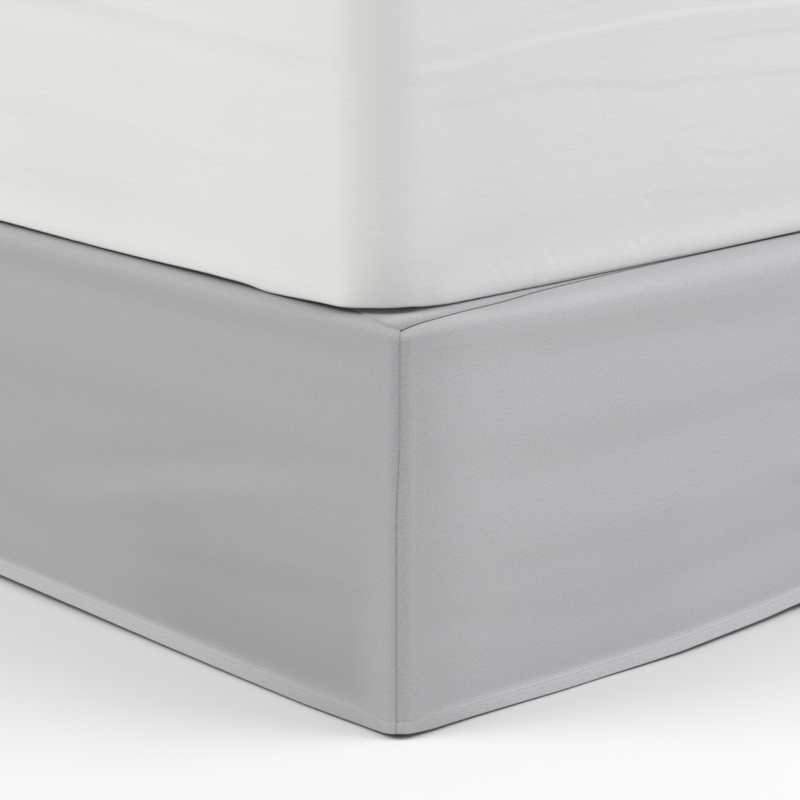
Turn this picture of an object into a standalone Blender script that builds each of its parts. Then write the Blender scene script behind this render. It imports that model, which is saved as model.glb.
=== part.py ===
"""Bed skirt on a queen-size bed: a box spring on a metal frame, the skirt's flat deck cloth with three
hanging drops sewn to it, and the mattress that holds the deck down. Metres, +Z up. The origin is on the
floor under the middle of the bed, with the foot end towards -Y and the open head end towards +Y."""

from collections import namedtuple
import math

import bmesh
import bpy

# Driving sizes
BED_WIDTH = 1.524
BED_LENGTH = 2.032
BOX_HEIGHT = 0.229
BOX_TOP = 0.3815
BOX_CORNER = 0.025
BOX_EDGE = 0.022
CLOTH_CORNER = 0.0105
CLOTH = 0.0016
GAP = 0.0003

# The mattress stands in from the box's edges, more at the foot than at the sides
MATTRESS_WIDTH = 1.500
MATTRESS_LENGTH = 1.980
MATTRESS_HEIGHT = 0.350
MATTRESS_FOOT_INSET = 0.049
MATTRESS_CORNER = 0.055
MATTRESS_TOP_EDGE = 0.036
MATTRESS_LOWER_EDGE = 0.014

# Where the hanging cloth lies: its outer face outside the box, how far round the corner the drops meet,
# and how deep the foot drop's end lies there under the side drop
FACE_OUT = 0.0060
SPLIT_OFFSET = 0.0022
TUCK_DEPTH = 0.0022
GROOVE_START = 0.001
GROOVE_END = 0.008
GROOVE_END_TOP = 0.015
HEM_BAND = 0.014
HEM_STEP = 0.0004
LEAN_POWER = 1.3
END_HEM = 0.012

# Grid of each drop: rows over the top, round the edge and down the face, columns along the bed
LIP_ROWS = 2
BEND_ROWS = 4
FACE_ROWS = 13
CORNER_COLUMNS = (0.002, 0.004, 0.0062, 0.010, 0.016, 0.026, 0.042, 0.070)
TUCK_COLUMNS = (-0.014, -0.0045, -0.002, 0.0005, 0.003, 0.0055, 0.008, 0.0105, 0.016, 0.026, 0.044)
SIDE_STEP = 0.075
FOOT_STEP = 0.070

# Metal frame and its feet
RAIL_SIDE = 0.038
RAIL_WALL = 0.003
RAIL_INSET = 0.022
RAIL_END_INSET = 0.030
CROSS_SIDE = 0.030
CROSS_PLACES = {"head": 0.80, "middle": 0.0, "foot": -0.80}
LEG_RADIUS = 0.016
LEG_PLACES = {"head": 0.62, "foot": -0.62}
GLIDE_RADIUS = 0.026
GLIDE_HEIGHT = 0.012

HALF_WIDTH = BED_WIDTH / 2
HALF_LENGTH = BED_LENGTH / 2
BOX_BASE = BOX_TOP - BOX_HEIGHT
DECK_TOP = BOX_TOP + GAP + CLOTH
MATTRESS_BASE = DECK_TOP + GAP
RAIL_TOP = BOX_BASE - GAP
CROSS_TOP = RAIL_TOP - RAIL_WALL - GAP
HALF_FOOT_RUN = HALF_WIDTH - CLOTH_CORNER
CORNER_RUN = CLOTH_CORNER * math.pi / 2
CORNER_PLACE = HALF_FOOT_RUN + CORNER_RUN / 2
SPLIT = CORNER_PLACE + SPLIT_OFFSET
SIDE_RUN = CORNER_RUN / 2 + BED_LENGTH - CLOTH_CORNER - SPLIT_OFFSET
FOOT_RUN = 2 * CORNER_PLACE

# Lower edge of the drops: distance from the corner, how far it swings out, and its height off the floor
Hem = namedtuple("Hem", "along out height")
FOOT_HEM = (
    Hem(0.000, 0.0000, 0.0052),
    Hem(0.012, 0.0001, 0.0038),
    Hem(0.026, 0.0003, 0.0028),
    Hem(0.044, 0.0005, 0.0024),
    Hem(0.090, 0.0010, 0.0017),
    Hem(0.140, 0.0028, 0.0013),
    Hem(0.190, 0.0052, 0.0010),
    Hem(0.250, 0.0066, 0.0009),
    Hem(0.350, 0.0122, 0.0027),
    Hem(0.385, 0.0120, 0.0037),
    Hem(0.420, 0.0100, 0.0038),
    Hem(0.485, 0.0070, 0.0046),
    Hem(0.560, 0.0028, 0.0065),
    Hem(0.720, 0.0064, 0.0046),
    Hem(0.930, 0.0098, 0.0030),
    Hem(1.150, 0.0050, 0.0040),
    Hem(1.330, 0.0078, 0.0026),
    Hem(1.470, 0.0010, 0.0030),
    Hem(1.520, 0.0000, 0.0048),
)
SIDE_HEM = (
    Hem(0.000, 0.0000, 0.0052),
    Hem(0.012, 0.0002, 0.0034),
    Hem(0.026, 0.0005, 0.0025),
    Hem(0.044, 0.0010, 0.0022),
    Hem(0.070, 0.0025, 0.0021),
    Hem(0.124, 0.0046, 0.0019),
    Hem(0.200, 0.0048, 0.0024),
    Hem(0.350, 0.0060, 0.0037),
    Hem(0.500, 0.0080, 0.0062),
    Hem(0.630, 0.0085, 0.0070),
    Hem(0.850, 0.0050, 0.0048),
    Hem(1.100, 0.0092, 0.0032),
    Hem(1.350, 0.0058, 0.0044),
    Hem(1.600, 0.0086, 0.0030),
    Hem(1.850, 0.0040, 0.0036),
    Hem(2.030, 0.0020, 0.0040),
)

# Upper edge of the drops: how far in from the box's edge the seam runs, and how round the cloth turns over
Top = namedtuple("Top", "along seam bend")
FOOT_TOP = (
    Top(0.000, 0.0066, 0.0080),
    Top(0.008, 0.0072, 0.0081),
    Top(0.021, 0.0116, 0.0083),
    Top(0.033, 0.0148, 0.0086),
    Top(0.045, 0.0170, 0.0090),
    Top(0.066, 0.0196, 0.0097),
    Top(0.092, 0.0228, 0.0110),
    Top(0.122, 0.0250, 0.0120),
    Top(0.150, 0.0270, 0.0130),
    Top(0.200, 0.0350, 0.0150),
    Top(0.262, 0.0400, 0.0170),
    Top(0.350, 0.0450, 0.0200),
    Top(0.550, 0.0500, 0.0240),
    Top(0.900, 0.0520, 0.0220),
    Top(1.200, 0.0480, 0.0180),
    Top(1.400, 0.0330, 0.0120),
    Top(1.480, 0.0120, 0.0090),
    Top(1.520, 0.0066, 0.0080),
)
SIDE_TOP = (
    Top(0.000, 0.0066, 0.0080),
    Top(0.013, 0.0070, 0.0081),
    Top(0.025, 0.0086, 0.0084),
    Top(0.045, 0.0140, 0.0090),
    Top(0.070, 0.0220, 0.0100),
    Top(0.100, 0.0290, 0.0110),
    Top(0.300, 0.0350, 0.0130),
    Top(0.700, 0.0340, 0.0140),
    Top(1.200, 0.0370, 0.0130),
    Top(2.030, 0.0350, 0.0130),
)

# Soft folds in the drops, each a long low swelling or hollow: middle, reach each way, lean and height
Fold = namedtuple("Fold", "along up long wide lean out")
FOOT_FOLDS = (
    Fold(0.30, 0.368, 0.60, 0.011, -0.02, 0.0010),
    Fold(0.32, 0.327, 0.36, 0.018, -0.05, -0.0016),
    Fold(0.30, 0.267, 0.34, 0.022, -0.03, 0.0014),
    Fold(0.27, 0.223, 0.16, 0.015, 0.02, -0.0010),
    Fold(0.32, 0.160, 0.30, 0.026, -0.02, 0.0015),
    Fold(0.45, 0.080, 0.22, 0.026, 0.05, -0.0018),
    Fold(0.56, 0.158, 0.08, 0.018, -0.25, 0.0014),
    Fold(0.57, 0.215, 0.07, 0.016, -0.30, -0.0012),
    Fold(0.10, 0.200, 0.07, 0.030, -0.20, 0.0008),
    Fold(0.08, 0.095, 0.12, 0.015, -0.15, -0.0007),
)
SIDE_FOLDS = (
    Fold(0.35, 0.374, 0.60, 0.011, 0.00, 0.0008),
    Fold(0.42, 0.346, 0.45, 0.016, -0.01, -0.0013),
    Fold(0.32, 0.270, 0.50, 0.030, 0.00, 0.0013),
    Fold(0.30, 0.197, 0.20, 0.020, -0.22, -0.0014),
    Fold(0.33, 0.160, 0.20, 0.021, -0.26, 0.0015),
    Fold(0.18, 0.100, 0.18, 0.020, -0.13, -0.0014),
    Fold(0.30, 0.078, 0.12, 0.012, -0.10, 0.0006),
    Fold(0.11, 0.035, 0.14, 0.012, 0.00, -0.0006),
    Fold(0.62, 0.090, 0.10, 0.025, 0.10, -0.0012),
)
# Past the folds above the cloth goes on in the same slow bands
Band = namedtuple("Band", "up wide out")
BANDS = (
    Band(0.372, 0.012, 0.0009),
    Band(0.335, 0.018, -0.0013),
    Band(0.262, 0.026, 0.0014),
    Band(0.198, 0.022, -0.0012),
    Band(0.140, 0.024, 0.0014),
    Band(0.070, 0.024, -0.0013),
)
BAND_START = 0.86
BAND_STEP = 0.36
BAND_LONG = 0.19
BAND_LEAN = 0.05
BAND_RISE = 0.008

Look = namedtuple("Look", "colour roughness metallic")
LOOKS = {
    "skirt_cloth": Look((0.395, 0.398, 0.412), 0.62, 0.0),
    "mattress_cover": Look((0.78, 0.77, 0.74), 0.75, 0.0),
    "box_ticking": Look((0.66, 0.63, 0.57), 0.80, 0.0),
    "frame_steel": Look((0.045, 0.045, 0.048), 0.45, 0.9),
    "glide_plastic": Look((0.02, 0.02, 0.02), 0.5, 0.0),
}


def clear_scene():
    for thing in list(bpy.data.objects):
        bpy.data.objects.remove(thing, do_unlink=True)


def new_collection(name):
    collection = bpy.data.collections.new(name)
    bpy.context.scene.collection.children.link(collection)
    return collection


def make_material(name):
    look = LOOKS[name]
    material = bpy.data.materials.new(name)
    material.use_nodes = True
    shader = material.node_tree.nodes["Principled BSDF"]
    shader.inputs["Base Color"].default_value = (*look.colour, 1.0)
    shader.inputs["Roughness"].default_value = look.roughness
    shader.inputs["Metallic"].default_value = look.metallic
    return material


def add_object(name, mesh, material):
    thing = bpy.data.objects.new(name, mesh)
    mesh.materials.append(material)
    bed.objects.link(thing)
    return thing


def smooth_step(value, low, high):
    share = min(max((value - low) / (high - low), 0.0), 1.0)
    return share * share * (3.0 - 2.0 * share)


def read(rows, column, along):
    """A column of a table at a place between its rows, joined by smooth curves."""
    places = [row.along for row in rows]
    values = [getattr(row, column) for row in rows]
    along = min(max(along, places[0]), places[-1])
    after = next((i for i, place in enumerate(places) if place >= along), 0)
    if after == 0:
        return values[0]
    before = after - 1
    span = places[after] - places[before]
    share = (along - places[before]) / span

    def slope(i):
        if i == 0 or i == len(rows) - 1:
            return 0.0
        return (values[i + 1] - values[i - 1]) / (places[i + 1] - places[i - 1])

    square, cube = share**2, share**3
    return (
        (2 * cube - 3 * square + 1) * values[before]
        + (cube - 2 * square + share) * span * slope(before)
        + (3 * square - 2 * cube) * values[after]
        + (cube - square) * span * slope(after)
    )


def plan_point(route):
    """The bed's edge in plan, and the way out from it: the route is 0 at the middle of the foot end."""
    side = math.copysign(1.0, route)
    run = abs(route)
    if run < HALF_FOOT_RUN:
        return (side * run, -HALF_LENGTH), (0.0, -1.0)
    if run < HALF_FOOT_RUN + CORNER_RUN:
        turn = (run - HALF_FOOT_RUN) / CLOTH_CORNER
        normal = (side * math.sin(turn), -math.cos(turn))
        x = side * HALF_FOOT_RUN + CLOTH_CORNER * normal[0]
        y = CLOTH_CORNER - HALF_LENGTH + CLOTH_CORNER * normal[1]
        return (x, y), normal
    return (side * HALF_WIDTH, CLOTH_CORNER - HALF_LENGTH + run - HALF_FOOT_RUN - CORNER_RUN), (side, 0.0)


def tables_at(route):
    """Distance from the nearer corner's tables: (hem rows, top rows, distance along them)."""
    if abs(route) > CORNER_PLACE:
        return SIDE_HEM, SIDE_TOP, abs(route) - CORNER_PLACE
    return FOOT_HEM, FOOT_TOP, route + CORNER_PLACE


def carried_folds(length):
    """The slow bands that go on along a drop past its own folds."""
    folds = []
    count = int((length - BAND_START) / BAND_STEP) + 1
    for place in range(count):
        for row, band in enumerate(BANDS):
            rise = BAND_RISE * math.sin(2.1 * place + 1.3 * row)
            lean = BAND_LEAN * math.sin(1.7 * place + 0.8 * row)
            along = BAND_START + BAND_STEP * (place + 0.3 * math.sin(2.0 * row + place))
            folds.append(Fold(along, band.up + rise, BAND_LONG, band.wide, lean, band.out))
    return folds


def fold_height(folds, along, up):
    total = 0.0
    for fold in folds:
        across = along - fold.along
        rise = up - fold.up - fold.lean * across
        total += fold.out * math.exp(-((across / fold.long) ** 2) - (rise / fold.wide) ** 2)
    return total


def profile_point(row, route, folds, tuck, calm):
    """Outward distance and height of the cloth's outer face, from the seam on the box to the hem."""
    hem, top, along = tables_at(route)
    bend = read(top, "bend", along)
    seam = read(top, "seam", along) - GAP / 2
    bend_base = DECK_TOP - bend
    if row <= LIP_ROWS:
        share = row / LIP_ROWS
        return -seam + (FACE_OUT - bend + seam) * share, DECK_TOP - tuck
    if row <= LIP_ROWS + BEND_ROWS:
        turn = math.radians(90.0) * (row - LIP_ROWS) / BEND_ROWS
        reach = bend - tuck
        return FACE_OUT - bend + reach * math.sin(turn), bend_base + reach * math.cos(turn)
    low = read(hem, "height", along)
    step = row - LIP_ROWS - BEND_ROWS
    if step == FACE_ROWS:
        up = low
    else:
        up = bend_base + (low + HEM_BAND - bend_base) * step / (FACE_ROWS - 1)
    down = (bend_base - up) / (bend_base - low)
    out = FACE_OUT + read(hem, "out", along) * down**LEAN_POWER - tuck
    out += calm * fold_height(folds, along, up)
    if step >= FACE_ROWS - 1:
        out += HEM_STEP
    return out, up


def tuck_depth(from_split, row):
    """How far a foot drop's end lies under the side drop, easing out across the groove beside it."""
    high = 1.0 - min(max((row - LIP_ROWS - BEND_ROWS) / 4.0, 0.0), 1.0)
    groove_end = GROOVE_END + (GROOVE_END_TOP - GROOVE_END) * high
    return TUCK_DEPTH * (1.0 - smooth_step(from_split, GROOVE_START, groove_end))


def even_places(start, end, step):
    count = max(1, round((end - start) / step))
    return [start + (end - start) * i / count for i in range(count + 1)]


def make_drop(name, routes, folds, tucked, material):
    """A drop as one sheet: a grid laid over the box's edge and hung down, then given its thickness."""
    columns = len(routes) - 1
    rows = LIP_ROWS + BEND_ROWS + FACE_ROWS
    mesh = bpy.data.meshes.new(name)
    body = bmesh.new()
    bmesh.ops.create_grid(body, x_segments=columns, y_segments=rows, size=0.5)
    for vert in body.verts:
        route = routes[round((vert.co.x + 0.5) * columns)]
        row = round((0.5 - vert.co.y) * rows)
        from_corner = abs(abs(route) - CORNER_PLACE)
        tuck = tuck_depth(SPLIT - abs(route), row) if tucked else 0.0
        calm = smooth_step(from_corner, 0.004, 0.040)
        out, up = profile_point(row, route, folds, tuck, calm)
        (x, y), normal = plan_point(route)
        vert.co = (x + normal[0] * out, y + normal[1] * out, up)
    bmesh.ops.recalc_face_normals(body, faces=body.faces)
    normal = plan_point(routes[columns // 2])[1]
    if sum(face.normal.x * normal[0] + face.normal.y * normal[1] for face in body.faces) < 0:
        bmesh.ops.reverse_faces(body, faces=body.faces)
    body.to_mesh(mesh)
    body.free()
    mesh.shade_smooth()
    thing = add_object(name, mesh, material)
    sheet = thing.modifiers.new("thickness", "SOLIDIFY")
    sheet.thickness = CLOTH
    sheet.offset = -1.0
    sheet.use_even_offset = True
    return thing


def foot_routes():
    left = [-SPLIT + place for place in TUCK_COLUMNS]
    right = [-route for route in reversed(left)]
    middle = even_places(left[-1], right[0], FOOT_STEP)[1:-1]
    return left + middle + right


def side_routes(side):
    near = [0.0, *CORNER_COLUMNS]
    far = even_places(CORNER_COLUMNS[-1], SIDE_RUN - END_HEM, SIDE_STEP)[1:]
    return [side * (SPLIT + place) for place in [*near, *far, SIDE_RUN]]


def make_skirt(material):
    foot_folds = [*FOOT_FOLDS, *carried_folds(FOOT_RUN)]
    side_folds = [*SIDE_FOLDS, *carried_folds(SIDE_RUN)]
    make_drop("foot_drop", foot_routes(), foot_folds, True, material)
    make_drop("left_drop", side_routes(-1.0), side_folds, False, material)
    make_drop("right_drop", side_routes(1.0), side_folds, False, material)
    make_deck(material)


def make_deck(material):
    """The flat cloth under the mattress, its outline the seam that the drops hang from."""
    outline = []
    right = side_routes(1.0)
    left = [-route for route in reversed(right)]
    for route in left + foot_routes()[3:-3] + right:
        _, top, along = tables_at(route)
        inset = read(top, "seam", along) + GAP / 2
        (x, y), normal = plan_point(route)
        outline.append((x - normal[0] * inset, y - normal[1] * inset))
    curve = bpy.data.curves.new("deck_outline", "CURVE")
    curve.dimensions = "2D"
    curve.fill_mode = "BOTH"
    curve.extrude = CLOTH / 2
    line = curve.splines.new("POLY")
    line.points.add(len(outline) - 1)
    for point, (x, y) in zip(line.points, outline):
        point.co = (x, y, 0.0, 1.0)
    line.use_cyclic_u = True
    flat = bpy.data.objects.new("deck_curve", curve)
    bed.objects.link(flat)
    bpy.context.view_layer.update()
    graph = bpy.context.evaluated_depsgraph_get()
    mesh = bpy.data.meshes.new_from_object(flat.evaluated_get(graph))
    bpy.data.objects.remove(flat, do_unlink=True)
    body = bmesh.new()
    body.from_mesh(mesh)
    bmesh.ops.remove_doubles(body, verts=body.verts, dist=1e-5)
    bmesh.ops.recalc_face_normals(body, faces=body.faces)
    body.to_mesh(mesh)
    body.free()
    deck = add_object("deck", mesh, material)
    deck.location.z = DECK_TOP - CLOTH / 2
    return deck


def rounded_block(name, size, corner, top_edge, low_edge, material):
    """A box with round upright corners, and round edges above and below."""
    mesh = bpy.data.meshes.new(name)
    body = bmesh.new()
    bmesh.ops.create_cube(body, size=1.0)
    for vert in body.verts:
        vert.co = [place * length for place, length in zip(vert.co, size)]
    upright = [edge for edge in body.edges if abs(edge.verts[0].co.z - edge.verts[1].co.z) > size[2] / 2]
    bevel(body, upright, corner, 5)
    for edge_size, height in ((top_edge, size[2] / 2), (low_edge, -size[2] / 2)):
        ring = [edge for edge in body.edges if all(abs(v.co.z - height) < 1e-6 for v in edge.verts)]
        bevel(body, ring, edge_size, 4)
    body.to_mesh(mesh)
    body.free()
    mesh.shade_smooth()
    mesh.set_sharp_from_angle(angle=math.radians(40.0))
    return add_object(name, mesh, material)


def bevel(body, edges, width, segments):
    bmesh.ops.bevel(
        body, geom=edges, offset=width, offset_type="OFFSET", segments=segments,
        profile=0.5, affect="EDGES", material=-1,
    )


def make_bed(cover, ticking):
    box_size = (BED_WIDTH, BED_LENGTH, BOX_HEIGHT)
    box = rounded_block("box_spring", box_size, BOX_CORNER, BOX_EDGE, BOX_EDGE, ticking)
    box.location.z = BOX_BASE + BOX_HEIGHT / 2
    size = (MATTRESS_WIDTH, MATTRESS_LENGTH, MATTRESS_HEIGHT)
    mattress = rounded_block("mattress", size, MATTRESS_CORNER, MATTRESS_TOP_EDGE, MATTRESS_LOWER_EDGE, cover)
    mattress.location.y = MATTRESS_FOOT_INSET - HALF_LENGTH + MATTRESS_LENGTH / 2
    mattress.location.z = MATTRESS_BASE + MATTRESS_HEIGHT / 2


def angle_bar(name, length, side, material):
    """An angle bar along Y: one flange on top, the other hanging at its -X edge."""
    curve = bpy.data.curves.new(name, "CURVE")
    curve.dimensions = "2D"
    curve.fill_mode = "BOTH"
    curve.extrude = length / 2
    line = curve.splines.new("POLY")
    corners = (
        (0.0, 0.0), (0.0, -side), (RAIL_WALL, -side),
        (RAIL_WALL, -RAIL_WALL), (side, -RAIL_WALL), (side, 0.0),
    )
    line.points.add(len(corners) - 1)
    for point, (x, y) in zip(line.points, corners):
        point.co = (x, y, 0.0, 1.0)
    line.use_cyclic_u = True
    solid = bpy.data.objects.new(name, curve)
    curve.materials.append(material)
    bed.objects.link(solid)
    solid.rotation_euler.x = math.radians(90.0)
    return solid


def make_frame(steel, plastic):
    rail_length = BED_LENGTH - 2 * RAIL_END_INSET
    for name, side in (("left", -1.0), ("right", 1.0)):
        rail = angle_bar("side_rail_" + name, rail_length, RAIL_SIDE, steel)
        rail.location = (side * (HALF_WIDTH - RAIL_INSET), 0.0, RAIL_TOP)
        if side > 0:
            rail.rotation_euler.z = math.radians(180.0)
    cross_length = BED_WIDTH - 2 * (RAIL_INSET + RAIL_WALL + GAP)
    for name, place in CROSS_PLACES.items():
        bar = angle_bar("cross_rail_" + name, cross_length, CROSS_SIDE, steel)
        bar.location = (0.0, place, CROSS_TOP)
        bar.rotation_euler.z = math.radians(90.0)
    leg_x = HALF_WIDTH - RAIL_INSET - RAIL_WALL - GAP - LEG_RADIUS
    for end, place in LEG_PLACES.items():
        for name, side in (("left", -1.0), ("right", 1.0)):
            make_leg(end + "_" + name, side * leg_x, place, RAIL_TOP - RAIL_WALL - GAP, steel, plastic)
    middle_y = CROSS_PLACES["middle"] + RAIL_WALL + GAP + LEG_RADIUS
    make_leg("middle", 0.0, middle_y, CROSS_TOP - RAIL_WALL - GAP, steel, plastic)


def make_leg(name, x, y, top, steel, plastic):
    base = GLIDE_HEIGHT + GAP
    round_bar("leg_" + name, (x, y), base, top, LEG_RADIUS, 16, steel)
    round_bar("glide_" + name, (x, y), 0.0, GLIDE_HEIGHT, GLIDE_RADIUS, 24, plastic)


def round_bar(name, centre, low, high, radius, sides, material):
    mesh = bpy.data.meshes.new(name)
    body = bmesh.new()
    bmesh.ops.create_cone(
        body, cap_ends=True, segments=sides, radius1=radius, radius2=radius, depth=high - low
    )
    body.to_mesh(mesh)
    body.free()
    mesh.shade_smooth()
    mesh.set_sharp_from_angle(angle=math.radians(40.0))
    bar = add_object(name, mesh, material)
    bar.location = (*centre, (low + high) / 2)
    return bar


clear_scene()
bed = new_collection("bed_skirt_on_bed")
make_skirt(make_material("skirt_cloth"))
make_bed(make_material("mattress_cover"), make_material("box_ticking"))
make_frame(make_material("frame_steel"), make_material("glide_plastic"))
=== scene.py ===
"""Looks of the bed skirt: fine cloth for the deck and the three drops with their hems and stitches, the
mattress in its white cover, the box spring with its piping, the painted frame, and a soft studio."""

from collections import namedtuple
import math

import bmesh
import bpy
from mathutils import Matrix, Vector, noise


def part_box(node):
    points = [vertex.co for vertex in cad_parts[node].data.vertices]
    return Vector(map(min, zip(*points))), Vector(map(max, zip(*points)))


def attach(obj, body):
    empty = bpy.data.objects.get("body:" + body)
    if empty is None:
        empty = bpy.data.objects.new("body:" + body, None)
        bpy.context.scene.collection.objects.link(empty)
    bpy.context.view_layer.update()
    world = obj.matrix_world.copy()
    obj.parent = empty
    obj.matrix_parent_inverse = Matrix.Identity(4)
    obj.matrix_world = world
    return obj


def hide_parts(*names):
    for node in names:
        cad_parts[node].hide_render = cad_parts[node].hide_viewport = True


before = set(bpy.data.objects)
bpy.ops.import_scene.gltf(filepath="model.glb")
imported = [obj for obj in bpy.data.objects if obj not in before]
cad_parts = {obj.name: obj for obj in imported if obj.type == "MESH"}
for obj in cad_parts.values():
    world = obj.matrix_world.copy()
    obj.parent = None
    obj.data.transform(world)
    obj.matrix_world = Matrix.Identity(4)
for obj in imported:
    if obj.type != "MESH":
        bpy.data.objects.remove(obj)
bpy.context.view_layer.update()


def table(kind, *rows):
    return tuple(kind(*row) for row in rows)


TINY = 1e-6

# Sizes of the bed and of the cloth on it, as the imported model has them
HALF_WIDTH = 0.762
HALF_LENGTH = 1.016
BOX_CORNER = 0.025
BOX_EDGE = 0.022
CLOTH_CORNER = 0.0105
CLOTH = 0.0016
SHEET = 0.0008
GAP = 0.0003
BOX_LOW, BOX_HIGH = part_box("box_spring")
DECK_TOP = BOX_HIGH[2] + GAP + CLOTH
FACE_OUT = 0.0060
HEM_BAND = 0.014
LEAN_POWER = 1.3
HALF_FOOT_RUN = HALF_WIDTH - CLOTH_CORNER
CORNER_RUN = CLOTH_CORNER * math.pi / 2
CORNER_PLACE = HALF_FOOT_RUN + CORNER_RUN / 2
SIDE_RUN = CORNER_RUN / 2 + 2 * HALF_LENGTH - CLOTH_CORNER
FOOT_RUN = 2 * CORNER_PLACE

# The doubled hem stands out by a step, flares out a little, less by a corner, and has a rolled edge
HEM_STEP = 0.0007
HEM_STEP_REACH = 0.0008
HEM_FLARE = 0.0026
HEM_FLARE_CORNER = 0.0009
HEM_FLARE_REACH = (0.060, 0.240)
HEM_END_RISE = 0.4
HEM_END_REACH = 0.014
HEM_ROLL = 0.0016

# The narrow hem down each end of a drop
END_BAND = 0.0115
END_BAND_EDGE = 0.0015
END_STEP = 0.0004
END_STEP_START = 0.25

# The row of stitches along the hem, and the groove that it pulls into the cloth
STITCH_UP = 0.0122
STITCH_GROOVE = 0.0004
STITCH_GROOVE_REACH = 0.0005
STITCH_PITCH = 0.0034
STITCH_LONG = 0.0026
STITCH_THICK = 0.00045
STITCH_PROUD = 0.0001
FOOT_STITCH_START = 0.014
SIDE_STITCH_START = 0.012
SIDE_STITCH_END = 0.004

# The drops meet at the corner, where the side one ends over the foot one. The line between them stands a
# little round to the side low down and by the corner's middle higher up. The upright valley along it is
# wide and soft near the top and narrow lower down
SPLIT = CORNER_PLACE + 0.0022
SPLIT_LEAN = 0.0020
SPLIT_LEAN_REACH = (0.012, 0.050)
LEAN_LOW = 0.207
LEAN_HIGH = 0.297
VALLEY_TURN = 0.247
VALLEY_TOP = 0.327
VALLEY_EDGE = 0.359
VALLEY_END = 0.375
SIDE_DIP = 0.0001
SIDE_DIP_TOP = 0.0004
SIDE_DIP_REACH = 0.0035
SIDE_DIP_REACH_TOP = 0.0070
FOOT_DIP = 0.0010
FOOT_DIP_TOP = 0.0012
FOOT_DIP_REACH = 0.040
FOOT_DIP_REACH_LIP = 0.012
END_ROLL = 0.0034
END_ROLL_TOP = 0.0044
END_TURN = 0.05

# How fine the cloth is made: close by the near corner, wider apart further off
CLOSE_STEP = 0.0065
CLOSE_REACH = 0.66
WIDE_STEP = 0.020
TUCK_SHARES = (1.0, 0.5, 0.15)
LIP_SHARES = (0.0, 0.02, 0.05, 0.1)
LIP_ROWS = 8
BEND_ROWS = 10
FACE_ROWS = 65
HEM_PLACES = (
    0.0137, 0.0134, 0.0131, 0.0126, 0.0122, 0.0117, 0.0110, 0.0090, 0.0065, 0.0042, 0.0025, 0.0016,
    0.0009, 0.0004, 0.0,
)
SIDE_END_PLACES = (
    0.0, 0.0003, 0.0007, 0.0012, 0.0020, 0.0030, 0.0042, 0.0056, 0.0072, 0.0088, 0.0100, 0.0112, 0.0124,
    0.0136, 0.0155, 0.0190, 0.0240, 0.0300,
)
FOOT_END_PLACES = (
    -0.008, -0.006, -0.004, -0.002, 0.0, 0.0010, 0.0020, 0.0030, 0.0040, 0.0050, 0.0062, 0.0075, 0.0090,
    0.0105, 0.0118, 0.0130, 0.0150, 0.0185, 0.0230, 0.0290,
)
Row = namedtuple("Row", "zone share")

# How the cloth lies at its edges: rolled where it is folded, and a little sunk and turned under at the seam
ROLL = 0.0012
END_FOLD = 0.0005
LIP_SINK = 0.0004
LIP_REACH = 0.0030
LIP_ROLL = 0.0008
TUCK_UNDER = 0.0032
SIDE_TUCK_DROP = 0.00015

# Lower edge of the drops: distance from the corner, how far it swings out, and its height off the floor
Hem = namedtuple("Hem", "along out height")
FOOT_HEM = table(
    Hem,
    (0.000, 0.0000, 0.0052), (0.012, 0.0001, 0.0038), (0.026, 0.0003, 0.0028),
    (0.044, 0.0005, 0.0024), (0.090, 0.0010, 0.0017), (0.140, 0.0028, 0.0013),
    (0.190, 0.0052, 0.0010), (0.250, 0.0066, 0.0009), (0.350, 0.0122, 0.0027),
    (0.385, 0.0120, 0.0037), (0.420, 0.0100, 0.0038), (0.485, 0.0070, 0.0046),
    (0.560, 0.0028, 0.0065), (0.720, 0.0064, 0.0046), (0.930, 0.0098, 0.0030),
    (1.150, 0.0050, 0.0040), (1.330, 0.0078, 0.0026), (1.470, 0.0010, 0.0030),
    (1.520, 0.0000, 0.0048),
)
SIDE_HEM = table(
    Hem,
    (0.000, 0.0000, 0.0052), (0.012, 0.0002, 0.0034), (0.026, 0.0005, 0.0025),
    (0.044, 0.0010, 0.0022), (0.070, 0.0025, 0.0021), (0.124, 0.0046, 0.0019),
    (0.200, 0.0048, 0.0024), (0.350, 0.0060, 0.0037), (0.500, 0.0080, 0.0062),
    (0.630, 0.0085, 0.0070), (0.850, 0.0050, 0.0048), (1.100, 0.0092, 0.0032),
    (1.350, 0.0058, 0.0044), (1.600, 0.0086, 0.0030), (1.850, 0.0040, 0.0036),
    (2.030, 0.0020, 0.0040),
)

# Upper edge of the drops: how far in from the box's edge the seam runs, and how round the cloth turns
Top = namedtuple("Top", "along seam bend")
FOOT_TOP = table(
    Top,
    (0.000, 0.0066, 0.0080), (0.008, 0.0072, 0.0081), (0.021, 0.0116, 0.0083),
    (0.033, 0.0148, 0.0086), (0.045, 0.0170, 0.0090), (0.066, 0.0196, 0.0097),
    (0.092, 0.0228, 0.0110), (0.122, 0.0250, 0.0120), (0.150, 0.0270, 0.0130),
    (0.200, 0.0350, 0.0150), (0.262, 0.0400, 0.0170), (0.350, 0.0450, 0.0200),
    (0.550, 0.0500, 0.0240), (0.900, 0.0520, 0.0220), (1.200, 0.0480, 0.0180),
    (1.400, 0.0330, 0.0120), (1.480, 0.0120, 0.0090), (1.520, 0.0066, 0.0080),
)
SIDE_TOP = table(
    Top,
    (0.000, 0.0066, 0.0080), (0.013, 0.0070, 0.0081), (0.025, 0.0086, 0.0084),
    (0.045, 0.0140, 0.0090), (0.070, 0.0220, 0.0100), (0.100, 0.0290, 0.0110),
    (0.300, 0.0350, 0.0130), (0.700, 0.0340, 0.0140), (1.200, 0.0370, 0.0130),
    (2.030, 0.0350, 0.0130),
)

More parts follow.
